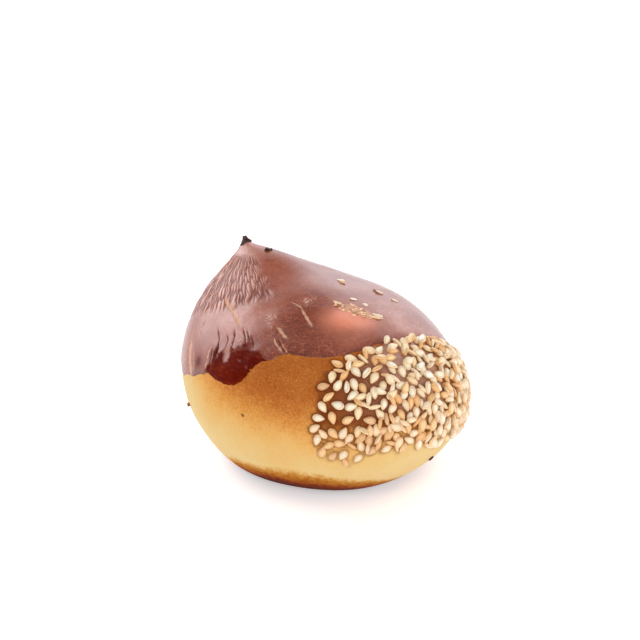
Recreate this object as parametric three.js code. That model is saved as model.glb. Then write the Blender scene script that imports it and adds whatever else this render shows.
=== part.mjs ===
// Chestnut manju: a baked bun pinched to a point like a chestnut, resting on its flat base.
// It is solid dough all through, so it is one closed solid.
// Millimetres, +Z up. +X runs from the pinched side to the round end that was pressed into seeds.
// The origin is the centre of the bounding box on the surface the bun rests on.
import * as THREE from 'three';

// The ball of dough before it is pinched: six reaches from its own centre.
const ball = {
  seedEnd: 33.2, // along +X
  pinchedEnd: 33.3, // along -X
  halfWidth: 29.0, // along +Y and -Y
  crown: 19.6, // up
  belly: 22.6, // down, past the tray that flattens it
  centreHeight: 18.5, // above the tray
};

// The point drawn up out of the ball, leaning away from the seeded end.
const point = {
  azimuth: 175.7, // degrees from +X, seen from above
  elevation: 56.7, // degrees above level
  coneHeight: 10.0,
  coneSpread: 36.4, // degrees
  coneSharpness: 1.4, // 1 is a straight-sided cusp, 2 a round hill
  hornHeight: 3.5,
  hornSpread: 4.2, // degrees
};

// Where hands and baking left the ball fuller (+) or flatter (-), as heights at the middle of each spot.
const handwork = [
  { name: 'saddle behind the point', azimuth: 123, elevation: 66, spread: 26, height: -1.0 },
  { name: 'swell under the point', azimuth: 169, elevation: 60, spread: 12, height: 1.1 },
  { name: 'round back shoulder', azimuth: 66, elevation: 44, spread: 24, height: 0.5 },
  { name: 'flat above the seeds', azimuth: 43, elevation: 7, spread: 24, height: -1.35 },
  { name: 'tuck under the seeded end', azimuth: 19, elevation: -39, spread: 24, height: -1.1 },
  { name: 'full flank under the point', azimuth: -153, elevation: 27, spread: 24, height: 0.8 },
  { name: 'full cheek by the tray', azimuth: -114, elevation: -44, spread: 24, height: 0.9 },
];

const tray = { edgeBlend: 1.3 }; // half height over which the side rounds into the flat base

// Rings of faces run from the point to the middle of the base, closest together at the point.
const rings = { count: 52, around: 72, crowding: 1.35 };

const up = new THREE.Vector3(0, 0, 1);

function direction(azimuth, elevation) {
  const angles = [THREE.MathUtils.degToRad(90 - elevation), THREE.MathUtils.degToRad(azimuth)];
  return new THREE.Vector3(
    Math.sin(angles[0]) * Math.cos(angles[1]),
    Math.sin(angles[0]) * Math.sin(angles[1]),
    Math.cos(angles[0]),
  );
}

const pointDirection = direction(point.azimuth, point.elevation);

function degreesBetween(a, b) {
  return THREE.MathUtils.radToDeg(a.angleTo(b));
}

// A hill that is 1 at its middle and fades over the spread.
function hill(degrees, spread, sharpness) {
  return Math.exp(-((degrees / spread) ** sharpness));
}

// Turns a plain sphere's direction so that its upper pole is the bun's point and its lower pole stays put.
function gatherAtPoint(plain) {
  const fromPole = Math.PI * (up.angleTo(plain) / Math.PI) ** rings.crowding;
  const around = Math.atan2(plain.y, plain.x);
  const gathered = new THREE.Vector3().setFromSphericalCoords(1, fromPole, around);
  gathered.set(gathered.z, gathered.x, gathered.y);
  const tiltAxis = new THREE.Vector3().crossVectors(up, pointDirection).normalize();
  const tilt = up.angleTo(pointDirection) * Math.cos(fromPole / 2) ** 4;
  return gathered.applyAxisAngle(tiltAxis, tilt);
}

function onBall(toward) {
  return new THREE.Vector3(
    toward.x * (toward.x > 0 ? ball.seedEnd : ball.pinchedEnd),
    toward.y * ball.halfWidth,
    toward.z * (toward.z > 0 ? ball.crown : ball.belly),
  );
}

function pinch(toward) {
  const away = degreesBetween(toward, pointDirection);
  const cone = point.coneHeight * hill(away, point.coneSpread, point.coneSharpness);
  const horn = point.hornHeight * hill(away, point.hornSpread, 1);
  return pointDirection.clone().multiplyScalar(cone + horn);
}

function handShape(place) {
  const outward = place.clone().normalize();
  const heights = handwork.map((spot) => {
    const away = degreesBetween(outward, direction(spot.azimuth, spot.elevation));
    return spot.height * hill(away, spot.spread, 2);
  });
  return outward.multiplyScalar(heights.reduce((sum, height) => sum + height, 0));
}

// Height above the tray once the dough has settled on it: flat below, unchanged above, rounded between.
function settle(height) {
  const blend = tray.edgeBlend;
  if (height <= -blend) return 0;
  if (height >= blend) return height;
  return (height + blend) ** 2 / (4 * blend);
}

function surfacePoint(plain) {
  const toward = gatherAtPoint(plain);
  const rounded = onBall(toward);
  const place = rounded.clone().add(pinch(toward)).add(handShape(rounded));
  place.z = settle(place.z + ball.centreHeight);
  return place;
}

function bunGeometry() {
  const geometry = new THREE.SphereGeometry(1, rings.around, rings.count);
  geometry.rotateX(Math.PI / 2); // poles along Z
  const positions = geometry.getAttribute('position');
  const vertex = new THREE.Vector3();
  for (let i = 0; i < positions.count; i += 1) {
    const place = surfacePoint(vertex.fromBufferAttribute(positions, i).normalize());
    positions.setXYZ(i, place.x, place.y, place.z);
  }
  geometry.computeBoundingBox();
  const middle = geometry.boundingBox.getCenter(new THREE.Vector3());
  geometry.translate(-middle.x, -middle.y, -geometry.boundingBox.min.z);
  geometry.computeVertexNormals();
  return geometry;
}

const bakedDough = new THREE.MeshStandardMaterial({ color: 0xd99a58, roughness: 0.55, metalness: 0 });

const bun = new THREE.Mesh(bunGeometry(), bakedDough);
bun.name = 'bun';

const manju = new THREE.Group();
manju.name = 'chestnut_manju';
manju.add(bun);

export default manju;
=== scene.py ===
import math
import random
from itertools import pairwise

import bmesh
import bpy
from mathutils import Matrix, Vector, kdtree, noise
from mathutils.bvhtree import BVHTree


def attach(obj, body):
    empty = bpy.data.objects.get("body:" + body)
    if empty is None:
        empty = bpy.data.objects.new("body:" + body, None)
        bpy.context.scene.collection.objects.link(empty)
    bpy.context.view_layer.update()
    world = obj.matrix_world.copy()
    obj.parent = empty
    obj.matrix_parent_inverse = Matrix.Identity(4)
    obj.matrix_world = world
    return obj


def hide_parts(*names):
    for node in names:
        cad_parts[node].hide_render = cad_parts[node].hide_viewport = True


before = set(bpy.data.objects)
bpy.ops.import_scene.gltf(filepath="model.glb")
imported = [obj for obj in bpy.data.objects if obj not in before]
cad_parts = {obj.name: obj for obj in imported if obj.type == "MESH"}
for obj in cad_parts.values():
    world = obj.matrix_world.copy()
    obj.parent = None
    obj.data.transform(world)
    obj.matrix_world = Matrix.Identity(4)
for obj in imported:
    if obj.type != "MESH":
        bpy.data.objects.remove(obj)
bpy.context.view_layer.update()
scene = bpy.context.scene
mm = 0.001
heart = Vector((0, 0, 18.5 * mm))  # middle of the ball of dough, from which places are given as directions


# Places on the bun

def towards(azimuth, elevation):
    a, e = math.radians(azimuth), math.radians(elevation)
    return Vector((math.cos(a) * math.cos(e), math.sin(a) * math.cos(e), math.sin(e)))


def azimuthOf(way):
    return math.degrees(math.atan2(way.y, way.x))


def elevationOf(way):
    return math.degrees(math.asin(max(-1, min(1, way.z))))


def hill(way, spot):  # 1 in the middle of a spot, fading over its spread in degrees
    apart = math.degrees(way.angle(towards(*spot["at"])))
    return math.exp(-((apart / spot["spread"]) ** 2))


def sumOf(way, spots):
    return sum(spot["amount"] * hill(way, spot) for spot in spots)


def ramp(value, low, high):  # 0 below low, 1 above high, smooth between
    t = max(0, min(1, (value - low) / (high - low)))
    return t * t * (3 - 2 * t)


def plateau(value, limits):  # up over the first two limits, down over the last two
    return ramp(value, limits[0], limits[1]) * (1 - ramp(value, limits[2], limits[3]))


def roundTheBun(knots, azimuth):  # smooth closed line through (azimuth, value) knots
    turn = (azimuth - knots[0][0]) % 360
    last = (0, knots[0][1])
    for knot in knots[1:] + knots[:1]:
        here = ((knot[0] - knots[0][0]) % 360 or 360, knot[1])
        if turn <= here[0]:
            t = (turn - last[0]) / (here[0] - last[0])
            return last[1] + (here[1] - last[1]) * t * t * (3 - 2 * t)
        last = here


def grain(place, size, shift):  # soft noise from -1 to 1 with lumps about this size
    return noise.noise(place / size + Vector((shift, shift * 0.7, -shift)))


# Shader wiring

class Wire:
    def __init__(self, tree, socket=None):
        self.tree = tree
        self.socket = socket

    def make(self, kind, settings=None, inputs=None, out=0):
        node = self.tree.nodes.new(kind)
        for name, value in (settings or {}).items():
            if name == "stops":
                elements = node.color_ramp.elements
                elements.remove(elements[1])
                elements[0].position, elements[0].color = value[0]
                for place, color in value[1:]:
                    elements.new(place).color = color
            else:
                setattr(node, name, value)
        for name, value in (inputs or {}).items():
            if isinstance(value, Wire):
                self.tree.links.new(value.socket, node.inputs[name])
            else:
                node.inputs[name].default_value = value
        return Wire(self.tree, node.outputs[out])

    def calculate(self, operation, *values):
        return self.make("ShaderNodeMath", {"operation": operation}, dict(enumerate(values)))

    def __add__(self, other):
        return self.calculate("ADD", self, other)

    def __radd__(self, other):
        return self.calculate("ADD", other, self)

    def __sub__(self, other):
        return self.calculate("SUBTRACT", self, other)

    def __rsub__(self, other):
        return self.calculate("SUBTRACT", other, self)

    def __mul__(self, other):
        return self.calculate("MULTIPLY", self, other)

    def __rmul__(self, other):
        return self.calculate("MULTIPLY", other, self)

    def clip(self, low, high):  # 0 at low, 1 at high, smooth between
        smooth = {"interpolation_type": "SMOOTHSTEP"}
        return self.make("ShaderNodeMapRange", smooth, {0: self, 1: low, 2: high})

    def tint(self, factor, color):  # this colour, turned towards another by the factor
        other = color if isinstance(color, Wire) else (*color, 1)
        return self.make("ShaderNodeMix", {"data_type": "RGBA"}, {0: factor, 6: self, 7: other}, out=2)

    def attribute(self, name):
        return self.make("ShaderNodeAttribute", {"attribute_name": name}, out=2)

    def place(self):
        return self.make("ShaderNodeTexCoord", out=3)

    def stretch(self, x, y, z):
        return self.make("ShaderNodeVectorMath", {"operation": "MULTIPLY"}, {0: self, 1: (x, y, z)})

    def noise(self, scale, detail=2, roughness=0.5, distortion=0):
        grains = {"Vector": self, "Scale": scale, "Detail": detail, "Roughness": roughness}
        return self.make("ShaderNodeTexNoise", None, {**grains, "Distortion": distortion})

    def cells(self, scale):
        return self.make("ShaderNodeTexVoronoi", None, {"Vector": self, "Scale": scale})

    def colors(self, stops):
        opaque = [(place, (*color, 1)) for place, color in stops]
        return self.make("ShaderNodeValToRGB", {"stops": opaque}, {0: self})

    def relief(self, height, strength=1):  # height in metres
        return self.make("ShaderNodeBump", None, {"Strength": strength, "Distance": 1.0, "Height": height})


def newMaterial(name, **constants):
    material = bpy.data.materials.new(name)
    material.use_nodes = True
    shader = material.node_tree.nodes["Principled BSDF"]
    for socket, value in constants.items():
        shader.inputs[socket.replace("_", " ")].default_value = value
    return material, Wire(material.node_tree), shader


def plug(wire, shader, socket):
    wire.tree.links.new(wire.socket, shader.inputs[socket])


# Mesh handling

def meshFrom(shape, name):
    mesh = bpy.data.meshes.new(name)
    shape.to_mesh(mesh)
    shape.free()
    return mesh


def meshObject(name, source, material):
    mesh = meshFrom(source, name) if isinstance(source, bmesh.types.BMesh) else source
    mesh.shade_smooth()
    mesh.materials.clear()
    mesh.materials.append(material)
    made = bpy.data.objects.new(name, mesh)
    scene.collection.objects.link(made)
    return made


def handOver(piece, slot, *nodes):
    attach(piece, "root")
    if nodes:
        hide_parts(*nodes)


def store(mesh, name, values):
    mesh.attributes.new(name, "FLOAT", "POINT").data.foreach_set("value", values)


def moveAll(mesh, places):
    mesh.vertices.foreach_set("co", [number for place in places for number in place])


def heapUp(heap, form, matrix, **values):  # a copy of the form, with each of these values all over it
    one = form.copy()
    one.transform(matrix)
    for name, value in values.items():
        store(one, name, [value] * len(one.vertices))
    heap.from_mesh(one)
    bpy.data.meshes.remove(one)


def treeOf(places):
    tree = kdtree.KDTree(len(places))
    for number, place in enumerate(places):
        tree.insert(place, number)
    tree.balance()
    return tree


# The smooth skin of the bun, from which the dough and the glaze are both made

def bunSkin():
    rough = bmesh.new()
    rough.from_mesh(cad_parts["bun"].data)
    bmesh.ops.remove_doubles(rough, verts=rough.verts, dist=0.001 * mm)
    bmesh.ops.join_triangles(rough, faces=rough.faces, angle_face_threshold=3, angle_shape_threshold=3)
    holder = bpy.data.objects.new("skin", meshFrom(rough, "skin"))
    scene.collection.objects.link(holder)
    smoothing = holder.modifiers.new("smoothing", "SUBSURF")
    smoothing.levels = smoothing.render_levels = 2
    finished = bpy.data.meshes.new_from_object(holder.evaluated_get(bpy.context.evaluated_depsgraph_get()))
    bpy.data.objects.remove(holder)
    return finished


def highest(mesh):
    return max((v.co for v in mesh.vertices), key=lambda co: co.z).copy()


def unevenness(place):  # hands leave no surface quite even
    lumps = 0.14 * grain(place, 11 * mm, 3) + 0.05 * grain(place, 4 * mm, 5)
    return ramp(place.z, 0.3 * mm, 1.5 * mm) * lumps * mm


horn = {  # how much thinner it is than the solid's, all round and on one side, and where, in mm from the tip
    "thinner": 0.08, "side": (40, 10), "sideThinner": 0.66, "away": (-0.4, 1.2, 2.2, 6.5),
}


def pinch(place, normal):
    sided = max(0, normal.dot(towards(*horn["side"])))
    most = horn["thinner"] + horn["sideThinner"] * sided
    return most * plateau((place - tip).length / mm, horn["away"]) * mm


skin = bunSkin()
tip = highest(skin)
moveAll(skin, [v.co + v.normal * (unevenness(v.co) - pinch(v.co, v.normal)) for v in skin.vertices])
skin.update()
tip = highest(skin)
probe = bmesh.new()
probe.from_mesh(skin)
heartTree = BVHTree.FromBMesh(probe)
probe.free()
print("skin ready:", len(skin.vertices), "points, tip at", [round(c / mm, 1) for c in tip])


def onSkin(way):  # the place on the skin in a direction from the heart, and its normal
    place, normal, _, _ = heartTree.ray_cast(heart, way)
    return place, normal


# Dough

dough = {
    "bake": [  # from pale to well browned
        (0.0, (0.71, 0.51, 0.235)), (0.2, (0.70, 0.455, 0.172)), (0.4, (0.71, 0.375, 0.108)),
        (0.6, (0.64, 0.26, 0.055)), (0.76, (0.50, 0.158, 0.030)), (0.88, (0.42, 0.115, 0.020)),
        (1.0, (0.33, 0.082, 0.014)),
    ],
    "rim": [  # the browned edge of the base
        (0.1, (0.68, 0.42, 0.13)), (0.28, (0.56, 0.28, 0.06)), (0.4, (0.41, 0.15, 0.016)),
        (0.54, (0.32, 0.075, 0.006)), (0.66, (0.18, 0.024, 0.002)), (0.85, (0.09, 0.012, 0.002)),
    ],
    "rimHeight": [  # how far up the base it browns, mm
        (-180, 7), (-140, 5), (-112, 6.5), (-98, 8.5), (-83, 9.8), (-62, 10.6), (-43, 9.2), (-27, 7.6),
        (-12, 5.6), (10, 6), (60, 8), (120, 10),
    ],
    "paleBelow": -7,  # degrees of elevation where browning starts
    "tanAbove": 19,
    "palest": 0.2, "tan": 0.88, "brownest": 0.86,  # along the colours of bake
    "spots": [  # browner and paler places; the paler one low on the left also paints light from that side, and the two browner ones low on the front paint shade
        {"at": (-107, 11), "spread": 12, "amount": -0.06},
        {"at": (-134, 4), "spread": 19, "amount": -0.42},
        {"at": (-66, 8), "spread": 16, "amount": 0.06},
        {"at": (-84, -26), "spread": 14, "amount": 0.25},
        {"at": (-68, -18), "spread": 10, "amount": 0.15},
        {"at": (-40, -26), "spread": 20, "amount": 0.25},
        {"at": (150, 6), "spread": 30, "amount": -0.3},
        {"at": (10, -22), "spread": 26, "amount": -0.3},
        {"at": (90, 4), "spread": 22, "amount": 0.15},
    ],
    # a small hole, with painted shade in it
    "hole": {"at": (-87.2, 3.9), "spread": 0.55},
    "holeShade": (0.12, 0.03, 0.01),
    "wash": [(0.3, (0.155, 0.030, 0.004)), (0.7, (0.27, 0.072, 0.012))],  # egg that ran down among the seeds
    "moreWash": [{"at": (-52, 25), "spread": 7, "amount": 5}],
    "lighterWash": (0.50, 0.235, 0.080),  # on the far side of the patch
    # painted sheen: where the wash is glossier it is also tinted mauve, standing for a reflection
    "sheen": {"at": (-8, 32), "spread": 20},
    "sheenWash": (0.50, 0.26, 0.21),
    "seedShadeColor": (0.17, 0.038, 0.006),  # painted contact shadow close round each seed, where the egg also pooled darker
    "hidden": 0.5,  # mm by which it lies lower under the glaze of the tip
}


def browning(way):
    rise = (elevationOf(way) - dough["paleBelow"]) / (dough["tanAbove"] - dough["paleBelow"])
    baked = dough["palest"] + (dough["tan"] - dough["palest"]) * rise + sumOf(way, dough["spots"])
    return max(0, min(dough["brownest"], baked))


# Seed patch, as a closed outline of directions

patch = [
    (-57, 7), (-53.5, 16), (-49.5, 23), (-45, 30), (-40, 33.5), (-29, 35.5), (-13, 39), (-1, 38), (14, 33),
    (29, 22), (43, 12), (50, 2), (44, -6), (28, -9), (8, -9.5), (-7, -7.5), (-15, -4), (-22, -5.5),
    (-30.5, -5), (-36, -8), (-42, -11.5), (-50.5, -7.5), (-53.5, 0),
]


def insideBy(outline, way):  # degrees inside a closed outline of directions, negative outside
    azimuth, elevation = azimuthOf(way), elevationOf(way)
    if not min(a for a, _ in outline) - 9 < azimuth < max(a for a, _ in outline) + 9:
        return -9
    wide = math.cos(math.radians(elevation))
    inside = False
    nearest = 81
    for (a, b), (c, d) in zip(outline, outline[1:] + outline[:1]):
        if (b > elevation) != (d > elevation) and azimuth < (c - a) * (elevation - b) / (d - b) + a:
            inside = not inside
        alongX, alongY = (c - a) * wide, d - b
        reachX, reachY = (azimuth - a) * wide, elevation - b
        t = max(0, min(1, (reachX * alongX + reachY * alongY) / (alongX * alongX + alongY * alongY)))
        nearest = min(nearest, (reachX - alongX * t) ** 2 + (reachY - alongY * t) ** 2)
    return math.sqrt(nearest) if inside else -math.sqrt(nearest)


def doughMaterial():
    material, wire, shader = newMaterial(
        "bakedDough", Specular_IOR_Level=0.02, Coat_IOR=1.9, Coat_Roughness=0.28)
    place = wire.place()
    mottle = place.noise(900, 3, 0.6)
    clouds = place.noise(160, 3, 0.55)
    streaks = place.stretch(1, 1, 0.35).noise(420, 2, 0.6)
    sandy = place.noise(2600, 2, 0.75)
    bake = wire.attribute("bake")
    tone = bake + (mottle - 0.5) * 0.16 + (clouds - 0.5) * 0.22 + (streaks - 0.5) * 0.12
    color = (tone + (sandy - 0.5) * 0.8 * (bake * 0.7 + 0.3)).colors(dough["bake"])
    lighter = wire.attribute("lighter")
    sheen = wire.attribute("sheen")
    wash = (wire.attribute("wash") + (clouds - 0.5) * 0.35).clip(0.25, 0.8)
    washColor = (clouds * 0.6 + mottle * 0.4).colors(dough["wash"])
    # the sheen tint is painted reflection
    washColor = washColor.tint(lighter, dough["lighterWash"]).tint(sheen * 0.85, dough["sheenWash"])
    color = color.tint(wash * 0.9, washColor)
    # painted contact shadow round the seeds, weaker where the wash is lighter and where it has sheen
    halo = wire.attribute("halo") * (0.8 - lighter * 0.25 - sheen * 0.3)
    color = color.tint(halo, dough["seedShadeColor"])
    speckle = place.stretch(1, 1, 0.35).noise(1000, 4, 0.8)
    rim = wire.attribute("rim")
    rim = rim + ((speckle - 0.5) * 0.6 + (clouds - 0.5) * 0.2) * rim.clip(0.0, 0.3)
    color = color.tint(rim.clip(0.1, 0.3), rim.colors(dough["rim"]))
    # painted shade in the small hole
    hole = wire.attribute("hole")
    color = color.tint(hole.clip(0.15, 0.6) * 0.92, dough["holeShade"])
    plug(color, shader, "Base Color")
    plug(0.6 - wash * 0.2 + (mottle - 0.5) * 0.12, shader, "Roughness")
    plug(wash * sheen, shader, "Coat Weight")
    pores = place.cells(520).clip(0.0, 0.16)
    height = mottle * 0.00004 + sandy * 0.00003 + pores * 0.00002 - hole * 0.0005
    plug(wire.relief(height, strength=0.9), shader, "Normal")
    return material


def rimAt(place, way):  # how far the browning from the base has come up
    height = place.z / mm + 0.7 * grain(place, 5 * mm, 8)
    return max(0, 1.04 - height / roundTheBun(dough["rimHeight"], azimuthOf(way)))


def washAt(way):
    inside = insideBy(patch, way) + sumOf(way, dough["moreWash"]) + 2.5 * grain(way, 0.05, 31)
    return ramp(inside, -1, 5) * ramp(elevationOf(way), -3, 11)


def seedShadeAround(places):  # painted contact shadow close round each seed, where the egg also pooled darker, from 0 to 1
    finder = treeOf([one["place"] for one in placed])
    halo = []
    for place in places:
        nearest = 9
        for seedPlace, number, _ in finder.find_n(place, 3):
            one, reach = placed[number], place - seedPlace
            along = reach.dot(one["frame"].col[0].xyz) / (seed["length"] / 2 * mm)
            across = reach.dot(one["frame"].col[1].xyz) / (seed["width"] / 2 * mm * one["width"])
            nearest = min(nearest, math.hypot(along, across))
        halo.append(1 - ramp(nearest, 1.05, 1.6))
    return halo


def makeDough():
    mesh = skin.copy()
    places = []
    for v in mesh.vertices:
        lower = dough["hidden"] * (1 - ramp((v.co - tip).length / mm, 2, 4))
        places.append(v.co - v.normal * lower * mm)
    moveAll(mesh, places)
    ways = [(place - heart).normalized() for place in places]
    store(mesh, "bake", [browning(way) for way in ways])
    store(mesh, "rim", [rimAt(place, way) for place, way in zip(places, ways)])
    store(mesh, "wash", [washAt(way) for way in ways])
    store(mesh, "sheen", [hill(way, dough["sheen"]) for way in ways])
    store(mesh, "lighter", [ramp(azimuthOf(way) + 0.5 * elevationOf(way), -28, 4) for way in ways])
    # painted contact shadow round the seeds, fading out low down
    halo = seedShadeAround(places)
    store(mesh, "halo", [near * ramp(elevationOf(way), -22, 2) for near, way in zip(halo, ways)])
    store(mesh, "hole", [hill(way, dough["hole"]) for way in ways])
    piece = meshObject("dough", mesh, doughMaterial())
    handOver(piece, "dough", "bun")


# Glaze

glaze = {
    "film": 0.2,  # mm over most of the top
    "edgeRamp": 1.1,  # mm in from the edge by which the film has its thickness
    "poolDepth": 0.34,  # mm more where it ran together
    "degree": 0.55,  # mm on the skin for a degree
    "wall": 0.45,  # mm, most of it sunk in the dough
    "tone": 0.36, "bank": {"tone": 0.16, "width": 2.4},  # along the colours of film, more near the edge
    "edgeLine": 0.45,  # mm
    "finerWithin": {"tip": 2.6, "stroke": 0.7, "edge": 0.8},  # mm from each, where the mesh is refined
    "rounded": {"within": 3.4, "passes": 6},  # mm from the tip, and how often it is smoothed there
    "triangles": 192000,  # both sides together
    "colors": {
        "film": [
            (0.0, (0.57, 0.25, 0.18)), (0.25, (0.37, 0.098, 0.048)),
            (0.55, (0.205, 0.037, 0.0135)), (1.0, (0.105, 0.012, 0.0035)),
        ],
        "pool": [(0.55, (0.185, 0.018, 0.002)), (0.7, (0.125, 0.0065, 0.0004)), (0.9, (0.09, 0.003, 0.0002))],
        # painted soft highlight on the thin film
        "glow": (0.80, 0.24, 0.125),
        "flecks": (0.74, 0.42, 0.31),
        # painted highlight on the ridges of the folds and painted shade in their creases
        "ridgeHighlight": (0.70, 0.38, 0.29),
        "creaseShade": (0.14, 0.030, 0.018),
        "edge": (0.07, 0.012, 0.006),
        "bare": (0.74, 0.40, 0.24),
        "dark": (0.13, 0.015, 0.004),
        "burnt": (0.092, 0.050, 0.042),
    },
    "edge": [  # azimuth and elevation of its lower edge
        (-165, 2), (-150, 3), (-138, 3.6), (-127, 7.8), (-117.7, 12.4), (-113.7, 14.6), (-109.5, 14.2),
        (-105.3, 13.9), (-100.5, 14), (-95.7, 15), (-92.5, 17.4), (-90.6, 20), (-88.9, 24), (-88.1, 26.8),
        (-84.3, 29.2), (-79.8, 31), (-76, 33.8), (-71, 35.3), (-58, 35.1), (-46.6, 34.9), (-38, 35.5),
        (-30, 36.5), (-18, 38), (-4, 37), (11, 31.5), (29, 21.5), (50, 16), (78, 17), (100, 21), (112, 15),
        (122, 7), (131, 6), (142, 13), (158, 6), (176, 0),
    ],
    "pools": [  # outlines of the dark places where it ran and stood thick, and how dark each is
        {"dark": 1, "outline": [
            (-116, 12), (-115.5, 17), (-115.5, 21), (-118, 28), (-115, 25.5), (-113, 24), (-111.5, 28),
            (-109.5, 26), (-107.2, 23.6), (-106.2, 23.4), (-106.4, 26), (-108.3, 28.5), (-109, 33),
            (-105.5, 30.5), (-104, 28.5), (-100.5, 27.5), (-96, 26.5), (-91.5, 25.3), (-87, 25), (-83, 22),
            (-88, 12), (-97, 8), (-108, 8),
        ]},
        {"dark": 0.84, "outline": [
            (-106.5, 31), (-105, 35), (-103, 31.5), (-102.3, 37), (-98, 33), (-94.5, 32), (-91, 35),
            (-86.5, 32), (-82, 30.5), (-80, 27), (-87.5, 22), (-92, 23), (-97.7, 24), (-103, 26),
        ]},
        {"dark": 1, "outline": [(112, 2), (117, 12), (121, 15), (126, 17), (131, 15), (137, 12), (142, 2)]},
    ],
    "glow": [  # where the film is thin and the warm dough shows, painted brighter as a soft highlight
        {"at": (-23, 59), "spread": 8.5, "amount": 0.8},
        {"at": (-12, 52), "spread": 7.5, "amount": 0.55},
        {"at": (-38, 58), "spread": 12, "amount": 0.5},
        {"at": (75, 45), "spread": 10, "amount": 0.4},
    ],
    "depthOfColor": [  # paler and darker places in the film: the paler ones on the left flank below the point and towards the right paint its sheen, the darker ones in the middle paint shade, and the small dark ones by the pools are thicker glaze
        {"at": (-170, 62), "spread": 12, "amount": 0.04},
        {"at": (-156, 44), "spread": 13, "amount": -0.32},
        {"at": (-176, 47), "spread": 8, "amount": -0.2},
        {"at": (-110, 46), "spread": 11, "amount": -0.2},
        {"at": (-80, 44), "spread": 18, "amount": 0.16},
        {"at": (-52, 44), "spread": 14, "amount": 0.08},
        {"at": (-62, 72), "spread": 13, "amount": 0.12},
        {"at": (-98, 32), "spread": 5, "amount": 0.3},
        {"at": (-116, 22), "spread": 3.5, "amount": 0.4},
        {"at": (-72, 55), "spread": 8, "amount": 0.12},
        {"at": (-60, 66), "spread": 7, "amount": 0.15},
        {"at": (-42, 47), "spread": 8, "amount": 0.1},
        {"at": (30, 50), "spread": 26, "amount": -0.1},
        {"at": (14, 41), "spread": 14, "amount": -0.15},
        {"at": (-138, 42), "spread": 16, "amount": -0.08},
        {"at": (-121, 36), "spread": 9, "amount": -0.12},
        {"at": (-34, 42), "spread": 12, "amount": -0.15},
        {"at": (-124, 15.5), "spread": 2.4, "amount": 0.5},
    ],
    "flecks": [  # where it is scratched pale
        {"at": (-80, 70), "spread": 4.2, "amount": 1},
        {"at": (-73, 75), "spread": 3, "amount": 0.6},
        {"at": (-101, 51), "spread": 3.4, "amount": 0.9},
        {"at": (-93, 48), "spread": 2.4, "amount": 0.8},
        {"at": (-18, 63), "spread": 6, "amount": 0.75},
        {"at": (-104, 35), "spread": 4, "amount": 0.7},
        {"at": (-76, 36.5), "spread": 3, "amount": 0.7},
        {"at": (-128, 12), "spread": 5, "amount": 0.5},
    ],
    "shine": [  # duller places
        {"at": (-166, 64), "spread": 14, "amount": -0.85},
        {"at": (-70, 73), "spread": 15, "amount": -0.65},
        {"at": (-74, 54), "spread": 9, "amount": -0.3},
        {"at": (-98, 32), "spread": 4, "amount": -0.6},
        {"at": (-116, 22), "spread": 3.5, "amount": -0.5},
        {"at": (-124, 15.5), "spread": 2.6, "amount": -0.6},
    ],
}

point = {
    "leans": towards(175.7, 56.7),
    "char": (1.9, 3.1),  # mm from the tip, between which the char fades out
}
pointDown = (Vector((0, 0, -1)) + point["leans"] * point["leans"].z).normalized()
pointSide = point["leans"].cross(pointDown)

folds = [  # little folds in the skin near the point: bearings round the point and distances from it, mm
    {"bearings": (36, 56, 134, 148), "away": (1.5, 5, 18, 21), "depth": 0.26},
    {"bearings": (-130, -115, -60, -45), "away": (3.5, 6, 13, 16), "depth": 0.12},
]
foldsRound, foldLength = 118, 4.8  # how many in a full turn, and how long in mm

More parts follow.
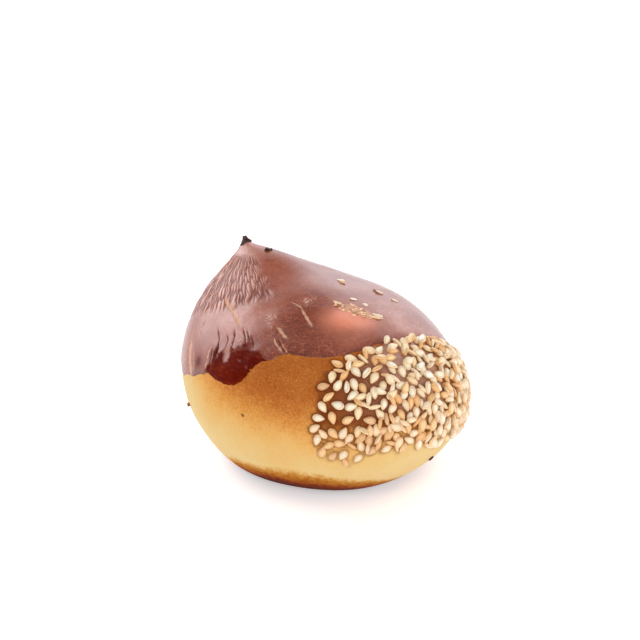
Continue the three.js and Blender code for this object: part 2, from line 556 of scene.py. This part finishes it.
# Splits and furrows in the glaze: directions along each, width and depth in mm, and what shows in it
strokes = [
    {"along": [(-142, 42.2), (-137.5, 41.6), (-131, 41.9)], "width": 0.6, "depth": 0.06, "shows": "bare"},
    {"along": [(-137, 41.6), (-127.5, 41.8), (-121, 41.2), (-113.5, 40)],
     "width": 0.46, "depth": 0.11, "shows": "bare"},
    {"along": [(-98.6, 66), (-88, 65.9), (-79.6, 64.6)], "width": 0.12, "depth": 0.04, "shows": "bare"},
    {"along": [(-79.6, 64.1), (-68.7, 58.5), (-60.5, 52.8)], "width": 0.4, "depth": 0.12, "shows": "bare"},
    {"along": [(-89.9, 48.6), (-82.7, 45.8), (-76.6, 43.2)], "width": 0.42, "depth": 0.12, "shows": "bare"},
    {"along": [(-82.6, 41.9), (-76.9, 38.2), (-73.3, 35.2)], "width": 0.14, "depth": 0.12, "shows": "dark"},
    {"along": [(-85.5, 41.6), (-79, 37.4), (-75.5, 35.4)], "width": 0.16, "depth": -0.05, "shows": "bare"},
    {"along": [(-78.5, 40), (-72.5, 35.8)], "width": 0.05, "depth": -0.05, "shows": "bare"},
    {"along": [(-145.8, 25.9), (-139.5, 19.5), (-137, 16.5)], "width": 0.06, "depth": 0.05, "shows": "bare"},
    {"along": [(-138, 19), (-131.4, 12.5), (-126.2, 7.6)], "width": 0.95, "depth": 0.08, "shows": "bare"},
    {"along": [(-141.9, 13.5), (-134.8, 5.8)], "width": 0.2, "depth": 0.05, "shows": "bare"},
    {"along": [(-130.4, 17.6), (-124.6, 10.8)], "width": 0.08, "depth": -0.05, "shows": "bare"},
    {"along": [(-121.5, 24), (-116.6, 15)], "width": 0.3, "depth": 0.09, "shows": "bare"},
    {"along": [(-116.3, 23), (-112.8, 15.5)], "width": 0.16, "depth": 0.1, "shows": "bare"},
    {"along": [(-99, 54), (-95, 52.5)], "width": 0.1, "depth": 0.06, "shows": "bare"},
    {"along": [(-31, 70), (-21, 66.5), (-14, 62.5), (-9, 58.5), (-2, 54)],
     "width": 1, "depth": -0.08, "shows": "bare"},
    {"along": [(-17, 65.5), (-10, 61), (-3, 55.5)], "width": 2.4, "depth": -0.03, "shows": "bare"},
    {"along": [(-126.5, 32.4), (-119.6, 29.4), (-114.8, 25.5), (-113, 21)],
     "width": 0.15, "depth": 0.13, "shows": "dark"},
    {"along": [(-117.6, 33.2), (-113.2, 31.4), (-110.5, 27)], "width": 0.08, "depth": 0.1, "shows": "dark"},
    {"along": [(-114.5, 36.8), (-109.4, 33), (-106.4, 26.5)], "width": 0.2, "depth": 0.16, "shows": "dark"},
    {"along": [(-110.5, 39.7), (-104.6, 36.8), (-99, 32)], "width": 0.14, "depth": 0.13, "shows": "dark"},
    {"along": [(-106.9, 40.1), (-102.4, 37.6), (-98.5, 35.5)], "width": 0.12, "depth": 0.1, "shows": "dark"},
    {"along": [(-102, 29.2), (-95.8, 27.6), (-89.4, 25.6)], "width": 0.08, "depth": 0.04, "shows": "bare"},
    {"along": [(-100.5, 38.3), (-94, 34)], "width": 0.1, "depth": 0.08, "shows": "dark"},
    {"along": [(-119.8, 25.2), (-116.3, 20.5), (-113, 14)], "width": 0.2, "depth": 0.12, "shows": "dark"},
    {"along": [(-117.5, 25.8), (-113.5, 21)], "width": 0.12, "depth": 0.1, "shows": "dark"},
    {"along": [(-139, 30), (-132, 22)], "width": 0.04, "depth": 0.06, "shows": "dark"},
]

strokeSide = 0.4  # mm over which a stroke fades at its side
for stroke in strokes:
    stroke["path"] = [onSkin(towards(*way))[0] for way in stroke["along"]]


def aroundPoint(place):  # bearing round the point in degrees, 0 towards its low side, and mm from it
    away = place - tip
    return math.degrees(math.atan2(away.dot(pointSide), away.dot(pointDown))), away.length / mm


def foldedBy(fold, bearing, away):  # from 0 outside a fold's patch to 1 well inside it
    return plateau(bearing, fold["bearings"]) * plateau(away - abs(bearing) / 35, fold["away"])


def foldAt(bearing, away):  # how much of a fold there is, its relief from 0 in a crease to 1, and its depth
    border = bearing + 11 * noise.noise(Vector((away / 3, 5, bearing / 40)))
    share, deep = max((foldedBy(fold, border, away), fold["depth"]) for fold in folds)
    if share < 0.01:
        return 0, 1, 0
    turn = math.radians(bearing) + 0.024 * noise.noise(Vector((away / 1.7, bearing / 9, 1)))
    radius = foldsRound / (2 * math.pi)
    near = noise.voronoi(Vector((math.cos(turn) * radius, math.sin(turn) * radius, away / foldLength)))[0]
    return share, min(1, (near[1] - near[0]) / 0.45), deep


def glazeReach(way):  # mm inside the edge of the glaze, negative outside
    azimuth, elevation = azimuthOf(way), elevationOf(way)
    ragged = 0.5 * grain(way, 0.09, 11) + 0.3 * grain(way, 0.03, 12)
    return (elevation - roundTheBun(glaze["edge"], azimuth) + ragged) * glaze["degree"]


def poolAt(way):  # how dark the pool is there, and how much it is raised
    streaks = grain(Vector((way.x, way.y, way.z * 0.22)), 0.045, 9)
    ragged = 2 * streaks + 1.2 * grain(way, 0.05, 10)
    dark, raised = 0, 0
    for pool in glaze["pools"]:
        inside = insideBy(pool["outline"], way)
        if inside > -8:
            dark = max(dark, pool["dark"] * ramp(inside + ragged, -1.4, 2.2))
            raised = max(raised, ramp(inside + streaks, -3.5, 4.5))
    return dark, raised


def refine(sheet, wanted, cuts):  # finer mesh where it is wanted
    edges = [e for e in sheet.edges if wanted(e.verts[0]) and wanted(e.verts[1])]
    bmesh.ops.subdivide_edges(sheet, edges=edges, cuts=cuts, use_grid_fill=True, smooth=1.0)
    sheet.normal_update()


def walk(path, stride):  # places along a path, each with how far along it is, from 0 to 1
    total = sum((b - a).length for a, b in pairwise(path))
    gone = 0
    for a, b in pairwise(path):
        leg = (b - a).length
        steps = max(2, int(leg / stride))
        for step in range(steps):
            yield a.lerp(b, step / steps), (gone + leg * step / steps) / total
        gone += leg


def drawStrokes(places):  # how near each place is to the splits and furrows, and how deep they go
    finder = treeOf(places)
    shown = {"bare": [0.0] * len(places), "dark": [0.0] * len(places)}
    depth = [0.0] * len(places)
    for stroke in strokes:
        values = shown[stroke["shows"]]
        for place, t in walk(stroke["path"], 0.09 * mm):
            taper = min(1, 5 * t, 5 * (1 - t))
            half = stroke["width"] / 2 * (0.4 + 0.6 * taper) * (1 + 0.6 * grain(place, 0.8 * mm, 21))
            wander = Vector((grain(place, 1.3 * mm, 22), grain(place, 1.3 * mm, 23), 0)) * 0.16 * mm
            for _, number, apart in finder.find_range(place + wander, (half + strokeSide) * mm):
                close = min(1, 1 - (apart / mm - half) / strokeSide) * (0.75 + 0.25 * taper)
                values[number] = max(values[number], close)
                groove = stroke["depth"] * close * close
                if abs(groove) > abs(depth[number]):
                    depth[number] = groove
    return shown, depth


def glazeMaterial():
    material, wire, shader = newMaterial(
        "eggGlaze", Specular_IOR_Level=0.03, Coat_IOR=1.75, Coat_Roughness=0.26)
    colors = glaze["colors"]
    place = wire.place()
    clouds = place.noise(170, 3, 0.6)
    fine = place.noise(1700, 3, 0.75)
    drawn = place.stretch(1, 1, 2.6).noise(800, 2, 0.6)
    scratches = place.stretch(1, 1, 3.2).noise(1300, 3, 0.7, 1.5)
    thick = wire.attribute("thick")
    marks = (scratches.clip(0.36, 0.64) - 0.5) * (thick.clip(0.28, 0.62) * 0.8 + 0.05)
    tone = thick + (clouds - 0.5) * 0.4 + (fine - 0.5) * (thick * 1.3 - 0.15)
    body = (tone + marks * 0.8 + (drawn - 0.5) * 0.25).colors(colors["film"])
    # painted soft highlight where the film is thin
    glow = wire.attribute("glow") + (clouds - 0.5) * 0.5 + (scratches - 0.5) * 0.7 + (fine - 0.5) * 0.3
    body = body.tint(glow.clip(0.0, 1.15), colors["glow"])
    flecked = wire.attribute("flecks")
    flecks = (scratches + flecked * 0.12).clip(0.61, 0.68) * flecked.clip(0.1, 0.6)
    body = body.tint(flecks * 0.75, colors["flecks"])
    folded, foldRelief = wire.attribute("folded"), wire.attribute("foldRelief")
    crease = (1 - foldRelief.clip(0.0, 0.5)) * folded
    ridge = foldRelief.clip(0.35, 1.0) * folded
    # painted highlight on the ridges of the folds and painted shade in their creases
    body = body.tint(ridge * 0.45, colors["ridgeHighlight"]).tint(crease * 0.75, colors["creaseShade"])
    rimLine = wire.attribute("edge") * (clouds + fine * 0.6).clip(0.6, 0.95)
    body = body.tint(rimLine * 0.7, colors["edge"])
    bare = (wire.attribute("bare") + (fine - 0.5) * 0.6 + (drawn - 0.5) * 0.9).clip(0.45, 1.1)
    body = body.tint(bare * 0.85, colors["bare"])
    dark = (wire.attribute("dark") + (fine - 0.5) * 0.25).clip(0.68, 0.95)
    body = body.tint(dark * 0.9, colors["dark"])
    deep = (wire.attribute("pool") + (fine - 0.5) * 0.5 + (drawn - 0.5) * 0.4).clip(0.12, 0.9)
    body = body.tint(deep, (clouds * 0.8 + drawn * 0.7).colors(colors["pool"]))
    char = (wire.attribute("char") + (fine - 0.5) * 0.5 + (clouds - 0.5) * 0.3).clip(0.3, 0.7)
    body = body.tint(char, colors["burnt"])
    plug(body, shader, "Base Color")
    plug(0.4 + (fine - 0.5) * 0.16 + char * 0.3 + bare * 0.15, shader, "Roughness")
    worn = (thick * 0.6 + 0.1 - marks).clip(0.0, 0.8)
    gloss = (1 - char) * (1 - worn * 0.5) * (1 - crease * 0.7) * (1 - bare * 0.8) * (1 - dark * 0.9)
    plug(gloss * (1 - deep) * wire.attribute("shine"), shader, "Coat Weight")
    height = fine * 0.00003 + clouds * 0.00004 + drawn * 0.00001 + scratches * thick * 0.00004
    plug(wire.relief(height - bare * 0.00005 - dark * 0.00006), shader, "Normal")
    return material


def glazeSheet():  # the skin above the glaze's edge, with a finer mesh where more is to be seen
    sheet = bmesh.new()
    sheet.from_mesh(skin)
    outside = [v for v in sheet.verts if glazeReach((v.co - heart).normalized()) < -1.6]
    bmesh.ops.delete(sheet, geom=outside, context="VERTS")
    corridor = treeOf([a.lerp(b, quarter / 4) for stroke in strokes for a, b in pairwise(stroke["path"])
                       for quarter in range(5)])
    within = glaze["finerWithin"]

    def folding(v, fold):
        return foldedBy(fold, *aroundPoint(v.co)) > 0.14

    def detailed(v):
        nearTip = (v.co - tip).length < within["tip"] * mm
        return nearTip or folding(v, folds[0]) or corridor.find(v.co)[2] < within["stroke"] * mm

    def plainer(v):
        nearEdge = abs(glazeReach((v.co - heart).normalized())) < within["edge"]
        return not detailed(v) and (nearEdge or folding(v, folds[1]))

    refine(sheet, plainer, 1)
    refine(sheet, detailed, 2)
    return sheet


def glazeHeight(way, away, far, raised, relief):  # mm above the skin, at so many mm inside the edge
    if far <= 0:
        return far * 0.45
    film = glaze["film"] * (1 + 0.3 * grain(way, 0.12, 14)) + glaze["poolDepth"] * raised
    height = film * (1 - math.exp(-far / glaze["edgeRamp"])) + relief * ramp(far, 0, 1.5)
    height -= 0.12 * (1 - ramp(away, 0.5, 3))  # the tip is drawn thin
    return max(height, min(0.04, far))


def makeGlaze():
    sheet = glazeSheet()
    places = [v.co.copy() for v in sheet.verts]
    normals = [v.normal.copy() for v in sheet.verts]
    shown, depth = drawStrokes(places)
    notes = []
    for number, v in enumerate(sheet.verts):
        place = places[number]
        way = (place - heart).normalized()
        far = glazeReach(way)
        within = max(far, 0)
        darkPool, raised = poolAt(way)
        bearing, away = aroundPoint(place)
        folded, foldRelief, deep = foldAt(bearing, away)
        relief = folded * deep * (foldRelief - 0.6) - depth[number]
        v.co = place + normals[number] * glazeHeight(way, away, far, raised, relief) * mm
        bank = glaze["bank"]["tone"] * math.exp(-((within / glaze["bank"]["width"]) ** 2))
        # film tone, from the film's thickness and from painted sheen and shade
        thick = glaze["tone"] + bank + sumOf(way, glaze["depthOfColor"])
        notes.append({
            "thick": thick + 0.1 * grain(way, 0.2, 15),
            "glow": sumOf(way, glaze["glow"]),
            "pool": max(darkPool, 0.8 * shown["dark"][number] * raised),
            "shine": max(0.05, 0.95 + sumOf(way, glaze["shine"])),
            "flecks": sumOf(way, glaze["flecks"]),
            "char": 1 - ramp(away + 0.8 * grain(place, 1.1 * mm, 24), *point["char"]),
            "edge": math.exp(-((within / glaze["edgeLine"]) ** 2)),
            "folded": folded,
            "foldRelief": foldRelief,
        })
    within = glaze["rounded"]["within"] * mm
    rounded = [v for v, place in zip(sheet.verts, places) if (place - tip).length < within]
    for _ in range(glaze["rounded"]["passes"]):
        bmesh.ops.smooth_vert(
            sheet, verts=rounded, factor=0.5, use_axis_x=True, use_axis_y=True, use_axis_z=True)
    mesh = meshFrom(sheet, "glaze")
    for name in notes[0]:
        store(mesh, name, [note[name] for note in notes])
    for name, values in shown.items():
        store(mesh, name, values)
    piece = meshObject("glaze", mesh, glazeMaterial())
    wall = piece.modifiers.new("wall", "SOLIDIFY")
    wall.thickness = glaze["wall"] * mm
    wall.offset = -1
    wall.shell_vertex_group = piece.vertex_groups.new(name="underside").name
    thinning = piece.modifiers.new("thinning", "DECIMATE")  # the underside needs few faces
    thinning.vertex_group = "underside"
    bothSides = 4 * len(mesh.polygons)  # two triangles to a face
    thinning.ratio = glaze["triangles"] / bothSides
    handOver(piece, "glaze")
    print("glaze made,", len(mesh.polygons), "faces on the outside")


# Sesame

seed = {
    "length": 2.9, "width": 1.8, "thickness": 0.88,  # mm
    "sharpColor": (0.55, 0.28, 0.10),  # at the pointed end
    # painted shade on the seeds low down and on the left
    "lowShadeColor": (0.64, 0.34, 0.13),
    "onEdge": {"width": 0.62, "lift": 0.25},  # share of the width, and mm higher
    "gap": 1.12, "closer": 0.26,  # share of two seeds' sizes between them, and how much less where crowded
    "farEnough": 3.4,  # mm between their middles
    "gapSpots": [
        {"at": (-31, 3), "spread": 13, "amount": -0.24},
        {"at": (-12, 27), "spread": 14, "amount": 0.22},
    ],
    # where they are tried, in degrees, and how high they lie and how far apart at least, in mm
    "side": {"tries": 9000, "azimuths": (-60, 52), "elevations": (-15, 40), "lift": (0.16, 0.32)},
    "sunk": {"tries": 500, "azimuths": (-54, -26), "elevations": (-14, 3), "lift": (0.1, 0.4), "apart": 1.9},
    "loose": {
        "tries": 900, "azimuths": (-28, 50), "elevations": (-8, 36), "lift": (0.72, 0.95), "apart": 2.5,
    },
    "kinds": {
        "creamSeeds": {"upTo": 0.56, "stops": [(0.0, (1.0, 0.92, 0.73)), (1.0, (0.98, 0.74, 0.42))]},
        "goldenSeeds": {"upTo": 0.95, "stops": [(0.0, (0.99, 0.68, 0.33)), (1.0, (0.88, 0.48, 0.17))]},
        "toastedSeeds": {"upTo": 9, "stops": [(0.0, (0.86, 0.55, 0.28)), (1.0, (0.70, 0.38, 0.16))]},
    },
}


def shaded(color, shares):  # so much of its red, green and blue
    return [part * share for part, share in zip(color, shares)]


def seedMaterial(name, stops):
    material, wire, shader = newMaterial(
        name, Specular_IOR_Level=0.5, Coat_Weight=0.6, Coat_Roughness=0.34, Coat_IOR=1.6)
    out = wire.attribute("fromMiddle")
    grainy = wire.place().noise(2400, 2, 0.6)
    line = out.clip(0.55, 0.72) * (1 - out.clip(0.78, 0.92))
    second = stops[1][1]
    color = (wire.attribute("tone") + (grainy - 0.5) * 0.3).colors(stops)
    color = color.tint(out.clip(0.6, 1.0) * 0.6, shaded(second, (0.86, 0.68, 0.5)))
    color = color.tint(line * 0.45, shaded(second, (0.62, 0.5, 0.42)))
    color = color.tint(wire.attribute("towardsPoint").clip(0.72, 1.0) * 0.5, seed["sharpColor"])
    # painted shade, darker on the seeds low down
    color = color.tint(wire.attribute("baked") * 0.46, seed["lowShadeColor"])
    plug(color, shader, "Base Color")
    plug(0.42 + (grainy - 0.5) * 0.15, shader, "Roughness")
    plug(wire.relief(grainy * 0.00002 - line * 0.00004), shader, "Normal")
    return material


def seedForm():  # one seed in the middle, pointed end along +X
    form = bmesh.new()
    fromMiddle, towardsPoint = (form.verts.layers.float.new(key) for key in ("fromMiddle", "towardsPoint"))
    bmesh.ops.create_uvsphere(form, u_segments=10, v_segments=7, radius=1)
    for v in form.verts:
        x, y, z = v.co.z, v.co.x, v.co.y  # the sphere's poles become the two ends
        v[fromMiddle] = min(1, math.hypot(x, y))
        v[towardsPoint] = max(0, x)
        narrow = 1 - 0.36 * x - 0.12 * x * x if x > -0.2 else 1.067 - 0.02 * x
        flat = math.copysign(abs(z) ** 0.8, z) * (0.9 + 0.1 * narrow)
        v.co = Vector((x * seed["length"], y * narrow * seed["width"], flat * seed["thickness"])) * 0.5 * mm
    return meshFrom(form, "seedForm")


def layFrame(place, normal, turn):  # x along the seed, z out of the bun
    side = normal.cross(Vector((0, 0, 1))).normalized()
    down = normal.cross(side)
    x = side * math.cos(turn) + down * math.sin(turn)
    y = normal.cross(x)
    return Matrix.Translation(place) @ Matrix((x, y, normal)).transposed().to_4x4()


def tilted(rest, roll, pitch):
    return rest @ Matrix.Rotation(roll, 4, "X") @ Matrix.Rotation(pitch, 4, "Y")


def seedReach(one, line):  # half the seed's size in mm along a line, as it lies
    angle = math.atan2(line.dot(one["frame"].col[1].xyz), line.dot(one["frame"].col[0].xyz))
    a, b = seed["length"] / 2, seed["width"] / 2
    return a * b / math.hypot(b * math.cos(angle), a * math.sin(angle)) * one["width"]


def overlaps(one, other, gap):
    line = other["place"] - one["place"]
    away = line.length / mm
    return away < seed["farEnough"] and away < gap * (seedReach(one, line) + seedReach(other, line))


def scatterSeeds():
    chance = random.Random(41)
    placed = []

    def somewhere(area):
        azimuth, elevation = chance.uniform(*area["azimuths"]), chance.uniform(*area["elevations"])
        way = towards(azimuth, elevation)
        place, normal = onSkin(way)
        return {"azimuth": azimuth, "elevation": elevation, "way": way, "place": place, "normal": normal}

    def turnTo(one, turn, onEdge=False):
        width = seed["onEdge"]["width"] if onEdge else 1
        one.update(turn=turn, onEdge=onEdge, width=width, frame=layFrame(one["place"], one["normal"], turn))

    def keep(one, area):
        one["lift"] = chance.uniform(*area["lift"])
        placed.append(one)

    def crowded(one, others, area):
        return any((other["place"] - one["place"]).length < area["apart"] * mm for other in others)

    for _ in range(seed["side"]["tries"]):
        one = somewhere(seed["side"])
        if insideBy(patch, one["way"]) < 0 or chance.random() > math.cos(math.radians(one["elevation"])):
            continue
        turn = chance.uniform(0, 2 * math.pi)
        crowd = ramp(one["azimuth"], -54, -20)
        gap = (seed["gap"] - seed["closer"] * crowd) * (1 + sumOf(one["way"], seed["gapSpots"]))
        onEdge = chance.random() < 0.04 + 0.26 * crowd
        if crowd > 0.5 and chance.random() < 0.6:
            turn = math.pi / 2 + chance.gauss(0, 0.6)  # many lie up and down on the crowded side
        turnTo(one, turn, onEdge)
        if not any(overlaps(one, other, gap) for other in placed):
            keep(one, seed["side"])
    for _ in range(seed["sunk"]["tries"]):  # more of them sunk in the soft dough low down
        one = somewhere(seed["sunk"])
        if insideBy(patch, one["way"]) < -0.5 or crowded(one, placed, seed["sunk"]):
            continue
        turnTo(one, chance.uniform(0, 2 * math.pi))
        keep(one, seed["sunk"])
    first = len(placed)
    for _ in range(seed["loose"]["tries"]):  # loose ones that lie over the others on the crowded side
        one = somewhere(seed["loose"])
        if insideBy(patch, one["way"]) < 2 or chance.random() > ramp(one["azimuth"], -30, 12):
            continue
        if not crowded(one, placed[first:], seed["loose"]):
            turnTo(one, chance.uniform(0, 2 * math.pi))
            keep(one, seed["loose"])
    return placed


def makeSeeds():
    chance = random.Random(7)
    form = seedForm()
    heaps = {name: bmesh.new() for name in seed["kinds"]}
    for one in placed:
        azimuth, elevation = one["azimuth"], one["elevation"]
        pick = chance.random() + 0.5 * (1 - ramp(elevation, -12, 6)) * (1 - ramp(azimuth, -36, -16))
        pick -= 0.12 * ramp(azimuth, -35, -5)
        name = next(kind for kind, what in seed["kinds"].items() if pick < what["upTo"])
        if one["onEdge"]:
            roll = chance.choice((-1, 1)) * chance.uniform(0.8, 1.3)
        else:
            roll = chance.gauss(0, 0.12 + 0.3 * ramp(azimuth, -35, 0))
        pitch = chance.gauss(0, 0.09)
        lift = one["lift"] + (seed["onEdge"]["lift"] if one["onEdge"] else 0)
        sunk = (1 - ramp(elevation, -2, 9)) * (1 - ramp(azimuth, -28, -10))
        lift -= 0.27 * sunk  # half sunk in the dough
        rest = layFrame(one["place"] + one["normal"] * lift * mm, one["normal"], one["turn"])
        # painted shade: the seeds low down are darkened, more so on the left
        baked = (1 - ramp(elevation, -2, 22)) * (1 - 0.35 * ramp(azimuth, -40, -10))
        size = Matrix.Scale(chance.uniform(0.92, 1.06) - 0.05 * sunk, 4)
        heapUp(heaps[name], form, tilted(rest, roll, pitch) @ size, tone=chance.random(), baked=baked)
    for name, kind in seed["kinds"].items():
        piece = meshObject(name, heaps[name], seedMaterial(name, kind["stops"]))
        handOver(piece, "sesame")
        print(name, len(piece.data.polygons), "faces")


# Stray bits

crumbs = {  # broken bits of sesame caught in the glaze
    "tones": [(0.0, (0.99, 0.80, 0.60)), (0.5, (0.90, 0.55, 0.28)), (1.0, (0.42, 0.17, 0.07))],
    # direction, length, width and height in mm, turn in degrees, and tone
    "bits": [
        {"at": (90, 75.5), "size": (2.5, 0.8, 0.6), "turn": 38, "tone": 0.0},
        {"at": (80, 76.5), "size": (1.8, 0.5, 0.4), "turn": 42, "tone": 0.5},
        {"at": (51, 58), "size": (2.0, 0.75, 0.5), "turn": 100, "tone": 0.1},
        {"at": (55, 59.5), "size": (1.5, 0.5, 0.45), "turn": 100, "tone": 1.0},
        {"at": (44, 50), "size": (1.7, 0.8, 0.4), "turn": 100, "tone": 0.2},
        {"at": (6, 70), "size": (1.7, 0.95, 0.3), "turn": 130, "tone": 0.0},
        {"at": (8, 62.5), "size": (1.3, 0.8, 0.3), "turn": 120, "tone": 0.0},
        {"at": (-27, 70.6), "size": (2.1, 0.7, 0.7), "turn": 140, "tone": 0.35},
        {"at": (-31, 70), "size": (1.5, 0.6, 0.6), "turn": 60, "tone": 0.6},
        {"at": (-25, 69), "size": (1.3, 0.5, 0.4), "turn": 130, "tone": 1.0},
        {"at": (3, 52.6), "size": (2.6, 0.75, 0.6), "turn": 132, "tone": 0.1},
        {"at": (-1, 52.4), "size": (2.8, 0.8, 0.6), "turn": 128, "tone": 0.4},
        {"at": (1, 52.6), "size": (2.2, 0.4, 0.4), "turn": 130, "tone": 1.0},
    ],
    "crack": [(-30, 69.5), (-21, 67), (-14, 63), (-9, 59), (-3, 54.5)],
    "alongCrack": 56,
    "spread": 0.02, "wider": 0.009,  # at its start, and more for each leg of it
}


def crumbForm():  # a rough pebble
    form = bmesh.new()
    bmesh.ops.create_icosphere(form, subdivisions=2, radius=1)
    for v in form.verts:
        v.co *= 1 + 0.5 * noise.noise(v.co * 1.9)
    return meshFrom(form, "crumbForm")


def layBit(heap, form, way, size, turn, tone, under=0, roll=0, pitch=0):  # under: mm of glaze below it
    place, normal = onSkin(way)
    rest = layFrame(place + normal * (under + 0.3 * size[2]) * mm, normal, math.radians(turn))
    stretched = Matrix.Diagonal((*[side * mm / 2 for side in size], 1))
    heapUp(heap, form, tilted(rest, roll, pitch) @ stretched, tone=tone)


def makeCrumbs():
    chance = random.Random(19)
    form = crumbForm()
    heap = bmesh.new()

    def lay(way, size, turn, tone):
        layBit(heap, form, way, size, turn, tone, glaze["film"], chance.gauss(0, 0.3), chance.gauss(0, 0.12))

    for bit in crumbs["bits"]:
        lay(towards(*bit["at"]), bit["size"], bit["turn"], bit["tone"])
    crack = [towards(*way) for way in crumbs["crack"]]
    for _ in range(crumbs["alongCrack"]):
        along = chance.random() * (len(crack) - 1)
        start = int(along)
        spread = crumbs["spread"] + crumbs["wider"] * along
        strewn = Vector([chance.gauss(0, spread) for _ in range(3)])
        way = crack[start].lerp(crack[start + 1], along - start) + strewn
        length = chance.uniform(0.35, 1.15)
        size = (length, length * chance.uniform(0.3, 0.6), chance.uniform(0.15, 0.4))
        lay(way.normalized(), size, chance.gauss(130, 30), chance.uniform(0.1, 1))
    piece = meshObject("strayBits", heap, seedMaterial("brokenSesame", crumbs["tones"]))
    handOver(piece, "sesame")


burnt = {  # baked-on specks: direction, size in mm, turn in degrees and tone
    "specks": [
        {"at": (175.6, 55.4), "size": (1.1, 1.35, 1.3), "turn": 20, "tone": 0.15},
        {"at": (172.4, 55.6), "size": (0.6, 0.5, 1.0), "turn": 80, "tone": 0.4},
        {"at": (-133, -8), "size": (0.9, 1.5, 0.8), "turn": 90, "tone": 0.9},
        {"at": (20, -8), "size": (1.0, 0.8, 0.6), "turn": 0, "tone": 0.3},
        {"at": (22, 4), "size": (1.2, 0.7, 0.6), "turn": 80, "tone": 0.2},
        {"at": (0, -18), "size": (1.7, 0.9, 0.6), "turn": 20, "tone": 0.5},
    ],
    "tones": [(0.0, (0.030, 0.016, 0.014)), (0.5, (0.09, 0.035, 0.02)), (1.0, (0.36, 0.13, 0.04))],
}


def makeSpecks():
    form = crumbForm()
    heap = bmesh.new()
    for speck in burnt["specks"]:
        layBit(heap, form, towards(*speck["at"]), speck["size"], speck["turn"], speck["tone"])
    material, wire, shader = newMaterial("burntSpeck", Specular_IOR_Level=0.3)
    rough = wire.place().noise(2600, 3, 0.6)
    plug((wire.attribute("tone") + (rough - 0.5) * 0.3).colors(burnt["tones"]), shader, "Base Color")
    plug(0.7 + (rough - 0.5) * 0.3, shader, "Roughness")
    plug(wire.relief(rough * 0.00008), shader, "Normal")
    piece = meshObject("burntSpecks", heap, material)
    rounding = piece.modifiers.new("rounding", "SUBSURF")
    rounding.levels = rounding.render_levels = 1
    handOver(piece, "glaze")


# Surroundings

room = {
    "walls": 0.34,
    "tint": (0.955, 1.0, 1.07, 1),
    "windows": [  # soft bright areas round the room, in degrees
        {"at": (100, 28), "edge": 42, "core": 12, "light": 1.25},
        {"at": (140, 26), "edge": 40, "core": 12, "light": 0.9},
        {"at": (-178, 30), "edge": 36, "core": 8, "light": 2.8},
    ],
    "lamps": {
        "frontFill": {"at": (-56, 31), "away": 1.1, "width": 1.2, "height": 0.7, "radiance": 2.0},
        "rightFill": {"at": (22, 18), "away": 1.1, "width": 0.7, "height": 0.6, "radiance": 2.4},
    },
    "lampsAimedAt": 20,  # mm up
    "tableGlow": 0.4,
}


def softbox(name, at, away, width, height, radiance):
    lamp = bpy.data.lights.new(name, "AREA")
    lamp.shape = "RECTANGLE"
    lamp.size, lamp.size_y = width, height
    lamp.energy = radiance * math.pi * width * height
    holder = bpy.data.objects.new(name, lamp)
    holder.location = Vector((0, 0, room["lampsAimedAt"] * mm)) + towards(*at) * away
    holder.rotation_mode = "QUATERNION"
    holder.rotation_quaternion = towards(*at).to_track_quat("Z", "Y")
    holder.visible_camera = False
    scene.collection.objects.link(holder)


def makeFloor():
    ground = bmesh.new()
    bmesh.ops.create_grid(ground, x_segments=8, y_segments=8, size=3)
    material, wire, shader = newMaterial(
        "paleFloor", Roughness=0.9, Emission_Color=(1, 1, 1, 1), Emission_Strength=room["tableGlow"])
    shade = wire.place().noise(2, 1).colors([(0.3, (0.93, 0.93, 0.93)), (0.7, (0.95, 0.95, 0.95))])
    plug(shade, shader, "Base Color")
    floor = meshObject("floor", ground, material)


def makeRoom():
    world = bpy.data.worlds.new("room")
    world.use_nodes = True
    wire = Wire(world.node_tree)
    toward = wire.make("ShaderNodeTexCoord", out=0)
    strength = room["walls"]
    for window in room["windows"]:
        sides = {0: toward, 1: towards(*window["at"])}
        facing = wire.make("ShaderNodeVectorMath", {"operation": "DOT_PRODUCT"}, sides, out=1)
        edge, core = (math.cos(math.radians(window[part])) for part in ("edge", "core"))
        strength = facing.clip(edge, core) * window["light"] + strength
    background = world.node_tree.nodes["Background"]
    background.inputs["Color"].default_value = room["tint"]
    world.node_tree.links.new(strength.socket, background.inputs["Strength"])
    scene.world = world
    for name, lamp in room["lamps"].items():
        softbox(name, **lamp)
    scene.view_settings.view_transform = "Standard"


view = {
    "from": (-50, 24),
    "away": 0.575,
    "lens": 145.9,
    "height": 19.2,  # mm up, what it looks at
    "aimUp": 12.7,  # mm by which it is aimed past that
    "aimLeft": 0.95,
}


def makeCamera():
    back = towards(*view["from"])
    right = Vector((0, 0, 1)).cross(back).normalized()
    target = Vector((0, 0, view["height"] * mm))
    aim = target + back.cross(right) * view["aimUp"] * mm - right * view["aimLeft"] * mm
    lens = bpy.data.cameras.new("camera")
    lens.sensor_width = 36
    lens.lens = view["lens"]
    lens.clip_start, lens.clip_end = 0.05, 20
    camera = bpy.data.objects.new("camera", lens)
    camera.location = target + back * view["away"]
    camera.rotation_mode = "QUATERNION"
    camera.rotation_quaternion = (camera.location - aim).to_track_quat("Z", "Y")
    scene.collection.objects.link(camera)
    scene.camera = camera


makeCamera()
makeFloor()
makeRoom()
print("camera, floor and light set")
placed = scatterSeeds()
print("seeds placed:", len(placed))
makeDough()
print("dough made")
makeGlaze()
makeSeeds()
makeCrumbs()
makeSpecks()
print("stray bits and specks laid")
